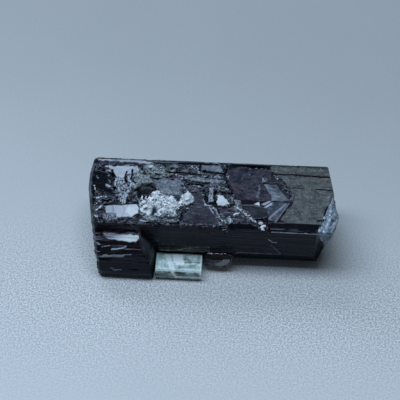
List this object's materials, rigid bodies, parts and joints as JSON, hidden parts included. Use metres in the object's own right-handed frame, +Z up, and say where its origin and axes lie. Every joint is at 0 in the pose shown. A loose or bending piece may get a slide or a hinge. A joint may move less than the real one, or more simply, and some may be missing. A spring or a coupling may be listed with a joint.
{
  "type": "tourmaline crystal specimen",
  "caption": "Dark striated tourmaline prism lying on its side, with a shorter prism grown alongside, small green and smoky crystals and pale crusts.",
  "frame": {"origin": "middle of the specimen's base, on the surface it rests on", "axes": "+X along the crystals, +Y towards the back of the main prism, away from the side prism, +Z up"},
  "size_m": [0.03, 0.013, 0.0079],
  "materials": {
    "dark_tourmaline": "gloss",
    "green_tourmaline": "gloss",
    "smoky_crystal": "gloss",
    "feldspar": "satin",
    "pale_mica": "satin"
  },
  "bodies": {
    "root": {"tourmaline_crystal": "dark_tourmaline", "green_crystal": "green_tourmaline", "smoky_crystal": "smoky_crystal", "feldspar_crust": "feldspar", "end_crust": "pale_mica"}
  },
  "joints": []
}
